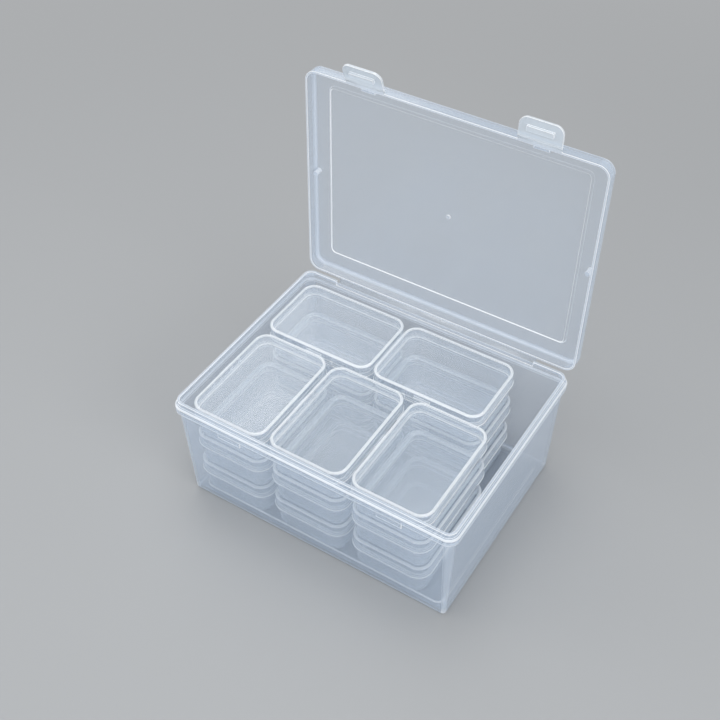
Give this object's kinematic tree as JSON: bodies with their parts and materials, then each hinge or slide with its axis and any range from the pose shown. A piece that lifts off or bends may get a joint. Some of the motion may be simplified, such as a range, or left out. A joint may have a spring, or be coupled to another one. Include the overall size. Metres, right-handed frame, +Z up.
{
  "type": "stackable storage case",
  "caption": "Clear hinged-lid storage case with flip latches, holding stacks of small hinged-lid boxes that seat in each other's recessed lids.",
  "frame": {"origin": "middle of the case tub's base, on the surface that it stands on", "axes": "+Z up, +Y towards the hinge side, +X to the right as seen from the latches"},
  "size_m": [0.18, 0.1519, 0.225],
  "materials": {
    "case_plastic": "clear natural polypropylene, slightly frosted",
    "box_plastic": "clear natural polypropylene, glossy"
  },
  "bodies": {
    "case": {"case_tub": "case_plastic", "lid_hinge_tub_flap": "case_plastic"},
    "lid": {"case_lid": "case_plastic", "lid_hinge_lid_flap": "case_plastic"},
    "left_latch_flap": {"left_latch": "case_plastic"},
    "right_latch_flap": {"right_latch": "case_plastic"},
    "front_left_lower_box": {"front_left_lower_tub": "box_plastic", "front_left_lower_lid": "box_plastic"},
    "front_left_middle_box": {"front_left_middle_tub": "box_plastic", "front_left_middle_lid": "box_plastic"},
    "front_left_upper_box": {"front_left_upper_tub": "box_plastic"},
    "front_left_upper_lid_flap": {"front_left_upper_lid": "box_plastic"},
    "front_middle_lower_box": {"front_middle_lower_tub": "box_plastic", "front_middle_lower_lid": "box_plastic"},
    "front_middle_middle_box": {"front_middle_middle_tub": "box_plastic", "front_middle_middle_lid": "box_plastic"},
    "front_middle_upper_box": {"front_middle_upper_tub": "box_plastic"},
    "front_middle_upper_lid_flap": {"front_middle_upper_lid": "box_plastic"},
    "front_right_lower_box": {"front_right_lower_tub": "box_plastic", "front_right_lower_lid": "box_plastic"},
    "front_right_middle_box": {"front_right_middle_tub": "box_plastic", "front_right_middle_lid": "box_plastic"},
    "front_right_upper_box": {"front_right_upper_tub": "box_plastic"},
    "front_right_upper_lid_flap": {"front_right_upper_lid": "box_plastic"},
    "back_left_lower_box": {"back_left_lower_tub": "box_plastic", "back_left_lower_lid": "box_plastic"},
    "back_left_middle_box": {"back_left_middle_tub": "box_plastic", "back_left_middle_lid": "box_plastic"},
    "back_left_upper_box": {"back_left_upper_tub": "box_plastic"},
    "back_left_upper_lid_flap": {"back_left_upper_lid": "box_plastic"},
    "back_right_lower_box": {"back_right_lower_tub": "box_plastic", "back_right_lower_lid": "box_plastic"},
    "back_right_middle_box": {"back_right_middle_tub": "box_plastic", "back_right_middle_lid": "box_plastic"},
    "back_right_upper_box": {"back_right_upper_tub": "box_plastic"},
    "back_right_upper_lid_flap": {"back_right_upper_lid": "box_plastic"}
  },
  "joints": [
    {"name": "case_lid_hinge", "type": "hinge", "parent": "case", "child": "lid", "pos_m": [0, 0.0699, 0.07295], "axis": [-1, 0, 0], "range_deg": [-92, 83]},
    {"name": "left_latch_hinge", "type": "hinge", "parent": "lid", "child": "left_latch_flap", "pos_m": [-0.0512, 0.07511, 0.21215], "axis": [-1, 0, 0], "range_deg": [-70, 95]},
    {"name": "right_latch_hinge", "type": "hinge", "parent": "lid", "child": "right_latch_flap", "pos_m": [0.0512, 0.07511, 0.21215], "axis": [-1, 0, 0], "range_deg": [-90, 75]},
    {"name": "front_left_lower_lift", "type": "slide", "parent": "case", "child": "front_left_lower_box", "axis": [0, 0, 1], "range_m": [0, 0.074]},
    {"name": "front_left_middle_lift", "type": "slide", "parent": "front_left_lower_box", "child": "front_left_middle_box", "axis": [0, 0, 1], "range_m": [0, 0.051]},
    {"name": "front_left_upper_lift", "type": "slide", "parent": "front_left_middle_box", "child": "front_left_upper_box", "axis": [0, 0, 1], "range_m": [0, 0.028]},
    {"name": "front_left_upper_lid_hinge", "type": "hinge", "parent": "front_left_upper_box", "child": "front_left_upper_lid_flap", "pos_m": [-0.03323, -0.02623, 0.06425], "axis": [0, 1, 0], "range_deg": [0, 14]},
    {"name": "front_middle_lower_lift", "type": "slide", "parent": "case", "child": "front_middle_lower_box", "axis": [0, 0, 1], "range_m": [0, 0.074]},
    {"name": "front_middle_middle_lift", "type": "slide", "parent": "front_middle_lower_box", "child": "front_middle_middle_box", "axis": [0, 0, 1], "range_m": [0, 0.051]},
    {"name": "front_middle_upper_lift", "type": "slide", "parent": "front_middle_middle_box", "child": "front_middle_upper_box", "axis": [0, 0, 1], "range_m": [0, 0.028]},
    {"name": "front_middle_upper_lid_hinge", "type": "hinge", "parent": "front_middle_upper_box", "child": "front_middle_upper_lid_flap", "pos_m": [0.01877, -0.02623, 0.06425], "axis": [0, 1, 0], "range_deg": [0, 20]},
    {"name": "front_right_lower_lift", "type": "slide", "parent": "case", "child": "front_right_lower_box", "axis": [0, 0, 1], "range_m": [0, 0.074]},
    {"name": "front_right_middle_lift", "type": "slide", "parent": "front_right_lower_box", "child": "front_right_middle_box", "axis": [0, 0, 1], "range_m": [0, 0.051]},
    {"name": "front_right_upper_lift", "type": "slide", "parent": "front_right_middle_box", "child": "front_right_upper_box", "axis": [0, 0, 1], "range_m": [0, 0.028]},
    {"name": "front_right_upper_lid_hinge", "type": "hinge", "parent": "front_right_upper_box", "child": "front_right_upper_lid_flap", "pos_m": [0.07137, -0.02623, 0.06425], "axis": [0, 1, 0], "range_deg": [0, 115]},
    {"name": "back_left_lower_lift", "type": "slide", "parent": "case", "child": "back_left_lower_box", "axis": [0, 0, 1], "range_m": [0, 0.074]},
    {"name": "back_left_middle_lift", "type": "slide", "parent": "back_left_lower_box", "child": "back_left_middle_box", "axis": [0, 0, 1], "range_m": [0, 0.051]},
    {"name": "back_left_upper_lift", "type": "slide", "parent": "back_left_middle_box", "child": "back_left_upper_box", "axis": [0, 0, 1], "range_m": [0, 0.028]},
    {"name": "back_left_upper_lid_hinge", "type": "hinge", "parent": "back_left_upper_box", "child": "back_left_upper_lid_flap", "pos_m": [-0.04793, 0.06157, 0.06425], "axis": [-1, 0, 0], "range_deg": [0, 30]},
    {"name": "back_right_lower_lift", "type": "slide", "parent": "case", "child": "back_right_lower_box", "axis": [0, 0, 1], "range_m": [0, 0.074]},
    {"name": "back_right_middle_lift", "type": "slide", "parent": "back_right_lower_box", "child": "back_right_middle_box", "axis": [0, 0, 1], "range_m": [0, 0.051]},
    {"name": "back_right_upper_lift", "type": "slide", "parent": "back_right_middle_box", "child": "back_right_upper_box", "axis": [0, 0, 1], "range_m": [0, 0.028]},
    {"name": "back_right_upper_lid_hinge", "type": "hinge", "parent": "back_right_upper_box", "child": "back_right_upper_lid_flap", "pos_m": [0.02507, 0.06157, 0.06425], "axis": [-1, 0, 0], "range_deg": [0, 30]}
  ]
}
